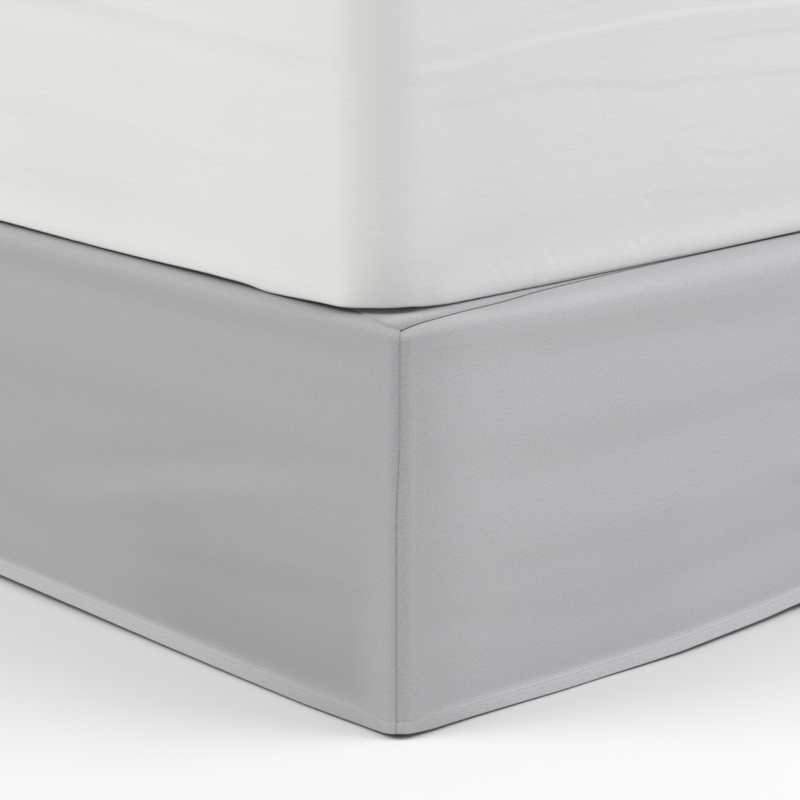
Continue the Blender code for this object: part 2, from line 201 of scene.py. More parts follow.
# Soft folds in the drops, each a long low swelling or hollow: middle, reach each way, lean and height.
# They die away by the corner, and a fold counts as nothing past three times its reach, 9 as a square
FOLD_GAIN = 1.9
FOLD_FADED = 9.0
CALM = (0.004, 0.040)
Fold = namedtuple("Fold", "along up long wide lean out")
FOOT_FOLDS = table(
    Fold,
    (0.30, 0.368, 0.60, 0.011, -0.02, 0.0010), (0.32, 0.327, 0.36, 0.018, -0.05, -0.0016),
    (0.30, 0.267, 0.34, 0.022, -0.03, 0.0014), (0.27, 0.223, 0.16, 0.015, 0.02, -0.0010),
    (0.32, 0.160, 0.30, 0.026, -0.02, 0.0015), (0.45, 0.080, 0.22, 0.026, 0.05, -0.0018),
    (0.56, 0.158, 0.08, 0.018, -0.25, 0.0014), (0.57, 0.215, 0.07, 0.016, -0.30, -0.0012),
    (0.10, 0.200, 0.07, 0.030, -0.20, 0.0008), (0.08, 0.095, 0.12, 0.015, -0.15, -0.0007),
)
SIDE_FOLDS = table(
    Fold,
    (0.35, 0.374, 0.60, 0.011, 0.00, 0.0008), (0.42, 0.346, 0.45, 0.016, -0.01, -0.0013),
    (0.32, 0.270, 0.50, 0.030, 0.00, 0.0013), (0.30, 0.197, 0.20, 0.020, -0.22, -0.0014),
    (0.33, 0.160, 0.20, 0.021, -0.26, 0.0015), (0.18, 0.100, 0.18, 0.020, -0.13, -0.0014),
    (0.30, 0.078, 0.12, 0.012, -0.10, 0.0006), (0.11, 0.035, 0.14, 0.012, 0.00, -0.0006),
    (0.62, 0.090, 0.10, 0.025, 0.10, -0.0012),
)
# Past those folds the cloth goes on in the same slow bands
Band = namedtuple("Band", "up wide out")
BANDS = table(
    Band,
    (0.372, 0.012, 0.0009), (0.335, 0.018, -0.0013), (0.262, 0.026, 0.0014),
    (0.198, 0.022, -0.0012), (0.140, 0.024, 0.0014), (0.070, 0.024, -0.0013),
)
BAND_START = 0.86
BAND_STEP = 0.36
BAND_LONG = 0.19
BAND_LEAN = 0.05
BAND_RISE = 0.008
BAND_SHIFT = 0.3

# The deck's welt from the seam inwards: how wide each step is, and how much it rises
Step = namedtuple("Step", "width rise")
WELT = table(
    Step,
    (0.0002, 0.0004), (0.0003, 0.0002), (0.0006, 0.0001), (0.0010, 0.0), (0.0012, 0.0),
    (0.0016, 0.0), (0.0030, 0.0), (0.0050, -0.0001), (0.0120, -0.0003), (0.0300, -0.0006),
)
WELT_START = 0.0004
WELT_UNDER = 0.0008
WELT_UNDER_DROP = 0.0006
# It stands to its full height at the foot end, from beside the corner to where the mattress hides it
WELT_LOW = 0.12
WELT_FOOT = (0.045, 0.075)
WELT_BESIDE = (0.012, 0.024)
WELT_SHOWN = (0.200, 0.270)
DECK_SHEET = 0.0005
DECK_FIRST_COLUMN = 3
# The deck counts as this far up the cloth for its painted light and shade, clear of the hem's painted
# highlight and of the painted shade on the top over the edge
DECK_REACH_UP = 0.30

# Faint short creases that only the fine cloth has
FOOT_CREASES = table(
    Fold,
    (0.068, 0.276, 0.032, 0.0035, -0.46, -0.00016), (0.060, 0.262, 0.028, 0.0030, -0.52, -0.00014),
    (0.080, 0.190, 0.034, 0.0040, -0.95, -0.00018), (0.062, 0.176, 0.024, 0.0032, -0.90, 0.00012),
    (0.105, 0.165, 0.030, 0.0036, -0.70, -0.00014), (0.150, 0.205, 0.050, 0.0060, -0.35, 0.00022),
    (0.235, 0.128, 0.060, 0.0060, -0.10, -0.00020), (0.270, 0.030, 0.018, 0.0040, 0.90, 0.00024),
    (0.245, 0.036, 0.016, 0.0036, 1.10, -0.00020), (0.120, 0.362, 0.040, 0.0070, 0.10, -0.00050),
    (0.045, 0.352, 0.022, 0.0060, 0.30, -0.00035), (0.520, 0.225, 0.020, 0.0050, 0.60, -0.00040),
    (0.400, 0.286, 0.080, 0.0070, -0.04, 0.00025),
)
SIDE_CREASES = table(
    Fold,
    (0.120, 0.290, 0.040, 0.0050, -0.50, -0.00022), (0.150, 0.276, 0.046, 0.0045, -0.42, 0.00018),
    (0.190, 0.262, 0.050, 0.0050, -0.30, -0.00018), (0.420, 0.140, 0.060, 0.0070, -0.30, 0.00030),
    (0.330, 0.182, 0.070, 0.0060, -0.20, 0.00026), (0.070, 0.148, 0.034, 0.0060, 0.35, -0.00026),
    (0.560, 0.300, 0.060, 0.0070, 0.06, 0.00022), (0.400, 0.060, 0.070, 0.0050, 0.05, 0.00016),
    (0.250, 0.054, 0.060, 0.0040, 0.02, -0.00016),
)
CRUMPLE_SIZE = 0.055
CRUMPLE_HEIGHT = 0.00022
SMALL_CRUMPLE_SIZE = 0.35 * CRUMPLE_SIZE
SMALL_CRUMPLE_SHARE = 0.4
SMALL_CRUMPLE_FLATTER = 1.7

# The mattress: its place, its round edges, and the dark gap where its cover turns under
MATTRESS_LOW, MATTRESS_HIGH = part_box("mattress")
MATTRESS_HEIGHT = MATTRESS_HIGH[2] - MATTRESS_LOW[2]
MATTRESS_CORNER = 0.055
MATTRESS_TOP_EDGE = 0.036
MATTRESS_LOWER_EDGE = 0.0022
MATTRESS_HALF_X = (MATTRESS_HIGH[0] - MATTRESS_LOW[0]) / 2
MATTRESS_HALF_Y = (MATTRESS_HIGH[1] - MATTRESS_LOW[1]) / 2
MATTRESS_MIDDLE = Vector((MATTRESS_HIGH[0] + MATTRESS_LOW[0], MATTRESS_HIGH[1] + MATTRESS_LOW[1])) / 2
MATTRESS_RUN_X = MATTRESS_HALF_X - MATTRESS_CORNER
MATTRESS_RUN_Y = MATTRESS_HALF_Y - MATTRESS_CORNER
MATTRESS_ARC = MATTRESS_CORNER * math.pi / 2
MATTRESS_ROUND = 4 * (MATTRESS_RUN_X + MATTRESS_RUN_Y + MATTRESS_ARC)

# How fine the cover is made: its rows, and its stations round the mattress, closest by the near corner
MATTRESS_ROW_STEP = 0.0031
NEAR_COVER = 0.66
NEAR_FOOT_STEP = 0.0034
NEAR_LEFT_STEP = 0.0055
NEAR_ARC_STEP = 0.0043
ARC_STEP = 0.0085
FAR_STEP = 0.03
CoverRow = namedtuple("CoverRow", "zone share rise")
# Rows under the mattress: how far in from its edge, and what share of the lower edge's lift they have
COVER_UNDER = ((0.45, 0.0), (0.20, 0.0), (0.06, 0.0), (0.040, 0.1), (0.026, 0.5), (0.014, 0.9))
COVER_TOP_INSETS = (0.05, 0.075, 0.11, 0.16, 0.22, 0.30, 0.40, 0.50, 0.60)

# How far the cover swells out over its side, how uneven its side and its top are, over what height its
# folds begin at its lower edge, and over what width they blend at the near corner
SIDE_CROWN = 0.002
SIDE_UNEVEN = 0.0004
SIDE_UNEVEN_SIZE = 0.07
TOP_UNEVEN = 0.0015
TOP_UNEVEN_SIZE = 0.22
FOLD_FOOT = (-0.002, 0.003)
CORNER_BLEND = 0.02
# Height of the cover's lower edge over the deck, by the distance from the near corner
FAR_LIFT = 0.002
Lift = namedtuple("Lift", "along height")
LEFT_LIFT = table(
    Lift,
    (0.000, 0.0058), (0.040, 0.0048), (0.072, 0.0042), (0.100, 0.0030), (0.141, 0.0010),
    (0.152, 0.0010), (0.175, 0.0034), (0.220, 0.0044), (0.260, 0.0042), (0.330, 0.0030),
    (0.410, 0.0024), (0.480, 0.0030), (0.600, 0.0036), (2.000, 0.0015),
)
FOOT_LIFT = table(
    Lift,
    (0.000, 0.0058), (0.046, 0.0050), (0.062, 0.0030), (0.080, 0.0023), (0.118, 0.0015),
    (0.182, 0.0008), (0.260, 0.0004), (0.440, 0.0004), (0.508, 0.0012), (0.600, 0.0022),
    (1.500, 0.0015),
)
# Creases of the mattress's cover on its two near sides: each runs through its points, which give the
# distance from the corner and the height up the side, and keeps a share of its height at its last point
CREASE_REACH = 2.6
Crease = namedtuple("Crease", "wide out last points")
LEFT_CREASES = (
    Crease(0.0150, -0.0012, 0.3, (
        (0.70, 0.240), (0.535, 0.233), (0.432, 0.230), (0.319, 0.224), (0.216, 0.219), (0.119, 0.216),
        (0.04, 0.217),
    )),
    Crease(0.0100, 0.0013, 0.2, (
        (0.70, 0.264), (0.535, 0.257), (0.432, 0.251), (0.319, 0.244), (0.216, 0.239), (0.119, 0.235),
        (0.05, 0.234),
    )),
    Crease(0.0180, 0.0036, 0.4, ((0.75, 0.004), (0.45, 0.005), (0.20, 0.006), (0.04, 0.004))),
    Crease(0.0160, -0.0008, 0.5, ((0.70, 0.048), (0.45, 0.050), (0.20, 0.050))),
    Crease(0.0200, 0.0007, 0.3, ((0.70, 0.150), (0.45, 0.140), (0.15, 0.120))),
    Crease(0.0040, -0.0003, 0.5, ((0.120, 0.175), (0.082, 0.180))),
    Crease(0.0030, -0.00018, 0.5, ((0.565, 0.117), (0.524, 0.120))),
    Crease(0.0030, -0.00018, 0.5, ((0.570, 0.060), (0.505, 0.064))),
    Crease(0.0030, -0.00018, 0.5, ((0.335, 0.130), (0.300, 0.131))),
    Crease(0.0030, -0.00018, 0.5, ((0.224, 0.112), (0.168, 0.104))),
    Crease(0.0026, -0.00020, 0.8, ((0.166, 0.060), (0.156, 0.071))),
    Crease(0.0026, 0.00020, 0.8, ((0.171, 0.062), (0.161, 0.073))),
    Crease(0.0030, -0.00018, 0.8, ((0.330, 0.072), (0.305, 0.080))),
    Crease(0.0100, -0.0006, 0.8, ((0.004, 0.020), (0.004, 0.330))),
)
FOOT_CREASES_OF_COVER = (
    Crease(0.0150, 0.0007, 0.3, ((0.05, 0.240), (0.10, 0.246), (0.16, 0.250))),
    Crease(0.0180, 0.0006, 0.3, ((0.060, 0.150), (0.070, 0.090), (0.060, 0.060))),
    Crease(0.0040, -0.0004, 0.3, ((0.040, 0.206), (0.075, 0.205), (0.110, 0.209))),
    Crease(0.0030, -0.0004, 0.4, ((0.280, 0.184), (0.290, 0.148))),
    Crease(0.0028, -0.0005, 0.5, ((0.205, 0.254), (0.235, 0.257), (0.278, 0.261))),
    Crease(0.0028, -0.0004, 0.5, ((0.215, 0.266), (0.248, 0.256))),
    Crease(0.0034, 0.00032, 0.4, (
        (0.425, 0.112), (0.449, 0.102), (0.482, 0.097), (0.525, 0.101), (0.560, 0.112),
    )),
    Crease(0.0034, -0.00028, 0.4, ((0.425, 0.104), (0.455, 0.094), (0.490, 0.090), (0.530, 0.092))),
    Crease(0.0032, 0.00026, 0.4, ((0.500, 0.112), (0.525, 0.100), (0.550, 0.090))),
    Crease(0.0030, 0.00022, 0.4, ((0.400, 0.130), (0.434, 0.134), (0.470, 0.142))),
    Crease(0.0030, -0.00022, 0.4, ((0.405, 0.125), (0.440, 0.128))),
    Crease(0.0032, 0.00026, 0.3, (
        (0.345, 0.070), (0.370, 0.073), (0.395, 0.068), (0.437, 0.062), (0.503, 0.060),
    )),
    Crease(0.0032, -0.00022, 0.3, ((0.350, 0.064), (0.395, 0.061), (0.437, 0.055), (0.490, 0.053))),
    Crease(0.0180, 0.0062, 0.6, ((0.75, 0.008), (0.40, 0.007), (0.20, 0.006), (0.09, 0.004))),
    Crease(0.0170, -0.0008, 0.6, ((0.12, 0.050), (0.25, 0.054), (0.45, 0.056))),
)
# Short gathers over the cover's lower edge at the foot end: where each starts, its lean, how far it runs
# and its height
Gather = namedtuple("Gather", "along low lean length out")
GATHERS = table(
    Gather,
    (0.150, 0.012, -0.42, 0.022, 0.00034), (0.158, 0.012, -0.42, 0.024, -0.00030),
    (0.166, 0.013, -0.42, 0.022, 0.00034), (0.194, 0.012, -0.55, 0.020, 0.00030),
    (0.201, 0.012, -0.60, 0.020, -0.00026), (0.221, 0.012, -0.42, 0.030, 0.00040),
    (0.230, 0.013, -0.42, 0.030, -0.00036), (0.238, 0.014, -0.42, 0.028, 0.00040),
    (0.272, 0.010, 0.20, 0.028, 0.00034), (0.283, 0.011, -0.15, 0.026, -0.00032),
    (0.334, 0.013, -0.60, 0.024, 0.00034), (0.342, 0.014, -0.60, 0.024, -0.00032),
    (0.350, 0.016, -0.60, 0.022, 0.00034), (0.358, 0.050, -0.70, 0.016, 0.00026),
    (0.366, 0.052, -0.70, 0.014, -0.00026), (0.422, 0.014, -0.50, 0.022, 0.00030),
    (0.443, 0.013, -0.40, 0.020, 0.00030), (0.451, 0.013, -0.40, 0.020, -0.00026),
    (0.488, 0.036, -0.45, 0.016, 0.00026), (0.510, 0.014, -0.70, 0.016, 0.00026),
)
GATHER_WIDE = 0.0030
GATHER_FOOT = (-0.008, 0.004)
GATHER_FADE = 0.6
# Ledges of the cover at the foot end: below its line the cloth stands in or out by an amount, over a short
# width, and comes back slowly further down
LEDGE_FADE = 0.05
Ledge = namedtuple("Ledge", "wide relax out start line")
LEDGES = (
    Ledge(0.0045, 0.030, 0.0013, 0.020, table(
        Lift,
        (0.000, 0.2230), (0.096, 0.2220), (0.147, 0.2280), (0.200, 0.2340), (0.254, 0.2360),
        (0.313, 0.2390), (0.366, 0.2420), (0.448, 0.2420), (0.566, 0.2390), (0.900, 0.2330),
    )),
    Ledge(0.0110, 0.050, -0.0009, 0.050, table(
        Lift,
        (0.069, 0.1860), (0.108, 0.1850), (0.160, 0.1880), (0.209, 0.1910), (0.255, 0.1880),
        (0.315, 0.1810), (0.368, 0.1740), (0.427, 0.1760), (0.498, 0.1720), (0.900, 0.1600),
    )),
    Ledge(0.0060, 0.030, -0.0007, 0.400, table(
        Lift, (0.370, 0.2040), (0.449, 0.2120), (0.568, 0.2120), (0.900, 0.2040),
    )),
)

# The box spring's pipings
PIPINGS = {"lower_piping": BOX_LOW[2] + 0.013, "upper_piping": BOX_HIGH[2] - 0.024}
PIPING_RADIUS = 0.0028
PIPING_SUNK = 0.0012
PIPING_STATIONS = 36
PIPING_SIDES = 8

# Painted light and shade over the skirt, as shares of its colour: the hem's painted highlight by the
# corner, far off and how far off that is; painted shade on the cloth low down, on the top over the edge
# near (a little painted light far off), on the way to the corner, and in the crease where the drops meet
Tone = namedtuple("Tone", "hem_near hem_far hem_end low lip_near lip_far corner crease")
SIDE_TONE = Tone(0.03, 0.25, 0.36, -0.11, -0.10, 0.02, 0.0, -0.02)
FOOT_TONE = Tone(0.03, 0.16, 0.16, -0.03, -0.11, 0.05, -0.12, -0.05)
# The deck has only painted shade near each foot corner, where the mattress's corner shades it
DECK_TONE = Tone(0.0, 0.0, 1.0, 0.0, 0.0, 0.0, -0.22, 0.0)
# Between which distances each change comes or goes, up the cloth from the hem or along from the corner
HEM_SHADE_UP = (HEM_BAND - 0.001, HEM_BAND + 0.010)
HEM_SHADE_START = 0.03
LOW_SHADE_START = (HEM_BAND, 0.030)
LOW_SHADE_END = (0.060, 0.220)
LOW_SHADE_NEAR = (0.02, 0.06)
LOW_SHADE_FAR = (0.28, 0.48)
LIP_SHADE_UP = (0.362, 0.386)
LIP_SHADE_ALONG = (0.08, 0.25)
CORNER_SHADE = (0.0, 0.11)
CREASE_SHADE = (0.0005, 0.0085)

# Grain of the cloths: a wave pattern of scale 1 repeats every WAVE_LENGTH
WAVE_LENGTH = 0.314
THREAD_PITCH = 0.00055
SKIRT_GRAIN = 430.0
SLUB_SCALE = (60.0, 900.0, 1.0)
SLUB_SHARE = 0.22
THREAD_DARK = (0.40, 0.40, 0.415)
THREAD_LIGHT = (0.47, 0.47, 0.485)
PIPING_DARK = (0.58, 0.56, 0.51)
PIPING_LIGHT = (0.66, 0.64, 0.59)
STEEL_DARK = (0.035, 0.035, 0.038)
STEEL_LIGHT = (0.06, 0.06, 0.064)
COVER_DARK = (0.612, 0.611, 0.606)
COVER_LIGHT = (0.644, 0.643, 0.638)
CRINKLE_SCALE = (60.0, 60.0, 190.0)
TICKING_STRIPES = ((0.80, (0.66, 0.63, 0.57)), (0.94, (0.50, 0.51, 0.53)))

# The studio: a wide floor, even light all round, soft suns and two softboxes. A sun's way is the
# direction to it in plan, in degrees anticlockwise from +X
FLOOR_HALF = 14.0
FLOOR_DROP = 0.0005
WORLD_STRENGTH = 0.55
SUN_DISTANCE = 5.0
Sun = namedtuple("Sun", "way height strength spread colour")
SUNS = {
    "left_sun": Sun(158.0, 39.0, 1.06, 34.0, (1.0, 0.985, 0.96)),
    "right_sun": Sun(298.0, 39.0, 0.47, 34.0, (0.985, 0.99, 1.0)),
    "front_sun": Sun(226.0, 38.0, 0.31, 40.0, (0.99, 0.99, 1.0)),
}
Softbox = namedtuple("Softbox", "place target side power colour")
SOFTBOXES = {
    "left_softbox": Softbox((-3.29, 0.62, 3.2), (-0.76, -0.5, 0.3), 2.0, 48.0, (1.0, 0.985, 0.96)),
    "right_softbox": Softbox((0.80, -2.45, 2.9), (-0.15, -1.0, 0.3), 1.6, 46.0, (0.985, 0.99, 1.0)),
}

# The camera looks along the bed's corner from the photograph's place
EYE_DISTANCE = 2.433
EYE_HEIGHT = 0.9754
EYE_TURN = 42.0
EYE_PITCH = 15.1
EYE_LENS = 127.5
EYE_CORNER = (-0.7589, -1.0129, 0.002)


def smooth_step(value, low, high):
    share = min(max((value - low) / (high - low), 0.0), 1.0)
    return share * share * (3.0 - 2.0 * share)


def between(first, last, share):
    return first + (last - first) * share


def read(rows, column, along):
    """A column of a table at a place between its rows, joined by smooth curves."""
    places = [row.along for row in rows]
    values = [getattr(row, column) for row in rows]
    along = min(max(along, places[0]), places[-1])
    after = next((i for i, place in enumerate(places) if place >= along), 0)
    if after == 0:
        return values[0]
    before = after - 1
    span = places[after] - places[before]
    share = (along - places[before]) / span

    def slope(i):
        if i == 0 or i == len(rows) - 1:
            return 0.0
        return (values[i + 1] - values[i - 1]) / (places[i + 1] - places[i - 1])

    square, cube = share**2, share**3
    return (
        (2 * cube - 3 * square + 1) * values[before]
        + (cube - 2 * square + share) * span * slope(before)
        + (3 * square - 2 * cube) * values[after]
        + (cube - square) * span * slope(after)
    )


def plan_point(route):
    """The bed's edge in plan, and the way out from it: the route is 0 at the middle of the foot end."""
    side = math.copysign(1.0, route)
    run = abs(route)
    if run < HALF_FOOT_RUN:
        return (side * run, -HALF_LENGTH), (0.0, -1.0)
    past = run - HALF_FOOT_RUN
    if past < CORNER_RUN:
        turn = past / CLOTH_CORNER
        normal = (side * math.sin(turn), -math.cos(turn))
        centre = (side * HALF_FOOT_RUN, CLOTH_CORNER - HALF_LENGTH)
        return (centre[0] + CLOTH_CORNER * normal[0], centre[1] + CLOTH_CORNER * normal[1]), normal
    return (side * HALF_WIDTH, CLOTH_CORNER - HALF_LENGTH + past - CORNER_RUN), (side, 0.0)


def set_out(route, out, up):
    """A point at a distance out from the bed's edge, at one height."""
    (x, y), (way_x, way_y) = plan_point(route)
    return Vector((x + way_x * out, y + way_y * out, up))


def tables_at(route):
    """The hem's rows, the top's rows and the distance along them from the nearer corner."""
    if abs(route) > CORNER_PLACE:
        return SIDE_HEM, SIDE_TOP, abs(route) - CORNER_PLACE
    return FOOT_HEM, FOOT_TOP, route + CORNER_PLACE


def carried_folds(length):
    """The slow bands that go on along a drop past its own folds. The uneven waves set each a little off
    its neighbours."""
    folds = []
    for place in range(int((length - BAND_START) / BAND_STEP) + 1):
        for row, band in enumerate(BANDS):
            rise = BAND_RISE * math.sin(2.1 * place + 1.3 * row)
            lean = BAND_LEAN * math.sin(1.7 * place + 0.8 * row)
            along = BAND_START + BAND_STEP * (place + BAND_SHIFT * math.sin(2.0 * row + place))
            folds.append(Fold(along, band.up + rise, BAND_LONG, band.wide, lean, band.out))
    return folds


def fold_height(folds, along, up):
    total = 0.0
    for fold in folds:
        across = along - fold.along
        rise = up - fold.up - fold.lean * across
        reach = (across / fold.long) ** 2 + (rise / fold.wide) ** 2
        if reach < FOLD_FADED:
            total += fold.out * math.exp(-reach)
    return total


def even_places(start, end, step):
    count = max(1, round((end - start) / step))
    return [start + (end - start) * i / count for i in range(count + 1)]


def roll(distance, radius=ROLL):
    """How far a folded edge has turned in, at a distance from the very edge."""
    if distance >= radius:
        return 0.0
    return radius - math.sqrt(max(radius**2 - (radius - distance) ** 2, 0.0))


def drop_rows():
    """The rows of a drop: under the seam, over the top, round the edge, down the face, and the hem."""
    rows = [Row("tuck", share) for share in TUCK_SHARES]
    rows += [Row("lip", share) for share in LIP_SHARES]
    rows += [Row("lip", between(LIP_SHARES[-1], 1.0, i / LIP_ROWS)) for i in range(1, LIP_ROWS + 1)]
    rows += [Row("bend", i / BEND_ROWS) for i in range(1, BEND_ROWS + 1)]
    rows += [Row("face", i / FACE_ROWS) for i in range(1, FACE_ROWS + 1)]
    return rows + [Row("hem", up) for up in HEM_PLACES]


def valley_width(up):
    """1 where the valley is wide and soft, 0 where it is narrow."""
    return smooth_step(up, VALLEY_TURN, VALLEY_TOP) * (1.0 - smooth_step(up, VALLEY_EDGE, VALLEY_END))


def valley(from_split, up, side):
    """How deep the cloth lies at a distance from where two drops meet, at one height."""
    high = valley_width(up)
    if side:
        reach = between(SIDE_DIP_REACH, SIDE_DIP_REACH_TOP, high)
        return between(SIDE_DIP, SIDE_DIP_TOP, high) * math.exp(-((from_split / reach) ** 2))
    reach = between(FOOT_DIP_REACH, FOOT_DIP_REACH_LIP, smooth_step(up, VALLEY_TOP, DECK_TOP))
    return between(FOOT_DIP, FOOT_DIP_TOP, high) * (1.0 - smooth_step(from_split, 0.0, reach))


def lip_place(row, seam, lip, from_split, side):
    """The cloth's place over the box's edge and where it is turned under at the seam."""
    from_seam = lip * row.share if row.zone == "lip" else 0.0
    reach = TUCK_UNDER * row.share if row.zone == "tuck" else -from_seam
    sunk = SIDE_TUCK_DROP
    if not side:
        sunk = LIP_SINK * (1.0 - smooth_step(from_seam, 0.0, LIP_REACH)) + roll(from_seam, LIP_ROLL)
    sunk *= 1.0 - from_seam / lip
    return -seam - reach, DECK_TOP - valley(from_split, DECK_TOP, side) - sunk, from_seam


def face_out_at(route, up, down, folds, from_split, side):
    """How far out the cloth's face hangs, with its swing, valley, folds, crumples and end hem."""
    hem, _, along = tables_at(route)
    calm = smooth_step(abs(abs(route) - CORNER_PLACE), *CALM)
    out = FACE_OUT + read(hem, "out", along) * down**LEAN_POWER - valley(from_split, up, side)
    out += calm * FOLD_GAIN * fold_height(folds, along, up)
    large = noise.noise(Vector((route, up, 0.0)) / CRUMPLE_SIZE)
    small = noise.noise(Vector((route, SMALL_CRUMPLE_FLATTER * up, 3.0)) / SMALL_CRUMPLE_SIZE)
    out += calm * CRUMPLE_HEIGHT * (large + SMALL_CRUMPLE_SHARE * small)
    end_hem = 1.0 - smooth_step(from_split, END_BAND - END_BAND_EDGE, END_BAND + END_BAND_EDGE)
    return out + END_STEP * end_hem * min(down / END_STEP_START, 1.0)


def hem_out_at(route, up, from_split):
    """How far the doubled hem stands out at a height over its lower edge, with its stitched groove."""
    line = up * (1.0 + HEM_END_RISE * math.exp(-((from_split / HEM_END_REACH) ** 2)))
    away = smooth_step(abs(abs(route) - CORNER_PLACE), *HEM_FLARE_REACH)
    flare = between(HEM_FLARE_CORNER, HEM_FLARE, away)
    out = (HEM_STEP + flare * (1.0 - up / HEM_BAND)) * smooth_step(HEM_BAND - line, 0.0, HEM_STEP_REACH)
    out -= STITCH_GROOVE * math.exp(-(((up - STITCH_UP) / STITCH_GROOVE_REACH) ** 2))
    return out - roll(up, HEM_ROLL)


def cloth_place(row, route, folds, side):
    """Outward distance and height of the cloth's outer face, and the distance down the cloth."""
    hem, top, along = tables_at(route)
    bend = read(top, "bend", along)
    seam = read(top, "seam", along) - GAP / 2
    low = read(hem, "height", along)
    bend_base = DECK_TOP - bend
    from_split = (SPLIT - abs(route)) * (-1.0 if side else 1.0)
    lip = seam + FACE_OUT - bend
    if row.zone in ("tuck", "lip"):
        return lip_place(row, seam, lip, from_split, side)
    if row.zone == "bend":
        turn = math.pi / 2 * row.share
        reach = bend - valley(from_split, bend_base + bend * math.cos(turn), side)
        out, up = FACE_OUT - bend + reach * math.sin(turn), bend_base + reach * math.cos(turn)
        return out, up, lip + bend * turn
    up = low + row.share if row.zone == "hem" else between(bend_base, low + HEM_BAND, row.share)
    out = face_out_at(route, up, (bend_base - up) / (bend_base - low), folds, from_split, side)
    if row.zone == "hem":
        out += hem_out_at(route, row.share, from_split)
    return out, up, lip + bend * math.pi / 2 + bend_base - up


def drop_routes(side):
    """Where the columns of a drop stand: side -1 or 1 for a side drop, 0 for the foot drop."""
    if side:
        places = list(SIDE_END_PLACES)
        if side < 0:
            places += even_places(places[-1], CLOSE_REACH, CLOSE_STEP)[1:]
        end = SIDE_RUN - (SPLIT - CORNER_PLACE)
        places += even_places(places[-1], end - ROLL, WIDE_STEP)[1:] + [end - END_FOLD, end]
        return [side * (SPLIT + place) for place in places]
    left = [-SPLIT + place for place in FOOT_END_PLACES]
    close = even_places(left[-1], -CORNER_PLACE + CLOSE_REACH, CLOSE_STEP)[1:]
    far = even_places(close[-1], SPLIT - FOOT_END_PLACES[-1], WIDE_STEP)[1:-1]
    return left + close + far + [SPLIT - place for place in reversed(FOOT_END_PLACES)]


def end_roll(route, up, side):
    """A side drop's ends are folded, so their very edges turn in a little."""
    if not side:
        return 0.0
    radius = between(END_ROLL, END_ROLL_TOP, valley_width(up))
    return END_TURN * roll(abs(route) - SPLIT, radius) + roll(SIDE_RUN + CORNER_PLACE - abs(route))


def leaning(route, up):
    """The line where the drops meet leans: both move a little towards the foot end with height."""
    near = 1.0 - smooth_step(abs(abs(route) - SPLIT), *SPLIT_LEAN_REACH)
    return route - math.copysign(SPLIT_LEAN * near * smooth_step(up, LEAN_LOW, LEAN_HIGH), route)


def make_drop(name, node, side, folds, paint):
    routes = drop_routes(side)
    rows = drop_rows()
    columns, count = len(routes) - 1, len(rows) - 1
    body = bmesh.new()
    bmesh.ops.create_grid(body, x_segments=columns, y_segments=count, size=0.5)
    lengths = {route: cloth_place(Row("hem", 0.0), route, folds, side)[2] for route in routes}
    places = {}
    for vert in body.verts:
        route = routes[round((vert.co.x + 0.5) * columns)]
        row = rows[round((0.5 - vert.co.y) * count)]
        out, up, down = cloth_place(row, route, folds, side)
        way = leaning(route, up)
        turn_in = end_roll(route, up, side)
        if row.zone in ("tuck", "lip"):
            up -= turn_in
        else:
            out -= turn_in
        vert.co = set_out(way, out, up)
        places[vert.index] = ((route, down), (abs(abs(route) - SPLIT), lengths[route] - down))
    spread_cloth(body, lambda vert: places[vert.index])
    face_out(body, routes[columns // 2])
    drop = add_piece(name, body, paint)
    thicken(drop, SHEET)
    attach(drop, "root")
    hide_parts(node)


def spread_cloth(body, place_of):
    """Lays the cloth out flat in its two maps: one for the weave, one for where light and shade are
    painted.
    """
    measure = body.loops.layers.uv.new("cloth")
    reach = body.loops.layers.uv.new("reach")
    for face in body.faces:
        for loop in face.loops:
            loop[measure].uv, loop[reach].uv = place_of(loop.vert)


def face_out(body, route):
    bmesh.ops.recalc_face_normals(body, faces=body.faces)
    way = plan_point(route)[1]
    if sum(face.normal.x * way[0] + face.normal.y * way[1] for face in body.faces) < 0:
        bmesh.ops.reverse_faces(body, faces=body.faces)


def thicken(thing, amount):
    sheet = thing.modifiers.new("thickness", "SOLIDIFY")
    sheet.thickness = amount
    sheet.offset = -1.0
    sheet.use_even_offset = True


def add_piece(name, body, paint, smooth=True):
    mesh = bpy.data.meshes.new(name)
    body.to_mesh(mesh)
    body.free()
    if smooth:
        mesh.shade_smooth()
    mesh.materials.append(paint)
    piece = bpy.data.objects.new(name, mesh)
    bpy.context.scene.collection.objects.link(piece)
    return piece


def welt_rise(place):
    """How high the deck's turned-in edge stands: full where it shows at the foot end, low elsewhere."""
    from_corner = HALF_WIDTH - abs(place.x)
    at_foot = 1.0 - smooth_step(place.y + HALF_LENGTH, *WELT_FOOT)
    shown = 1.0 - smooth_step(from_corner, *WELT_SHOWN)
    return between(WELT_LOW, 1.0, at_foot * shown * smooth_step(from_corner, *WELT_BESIDE))


def deck_routes():
    """The deck's rim, by the drops' own columns: the left side, the foot end and the right side."""
    left = drop_routes(-1.0)[DECK_FIRST_COLUMN:]
    foot = [route for route in drop_routes(0.0) if abs(route) < SPLIT - END_FOLD]
    return left[::-1] + foot + drop_routes(1.0)[DECK_FIRST_COLUMN:]


def rim_inset(route):
    _, top, along = tables_at(route)
    return read(top, "seam", along) + GAP / 2


def turn_under(body):
    """The deck's rim goes down and a little inwards, as a turned-in edge does."""
    rim = [edge for edge in body.edges if edge.is_boundary]
    under = bmesh.ops.extrude_edge_only(body, edges=rim)["geom"]
    for vert in [part for part in under if isinstance(part, bmesh.types.BMVert)]:
        if abs(vert.co.x) > HALF_WIDTH - (HALF_LENGTH - abs(vert.co.y)):
            vert.co.x -= math.copysign(WELT_UNDER, vert.co.x)
        else:
            vert.co.y -= math.copysign(WELT_UNDER, vert.co.y)
        vert.co.z = DECK_TOP - WELT_UNDER_DROP


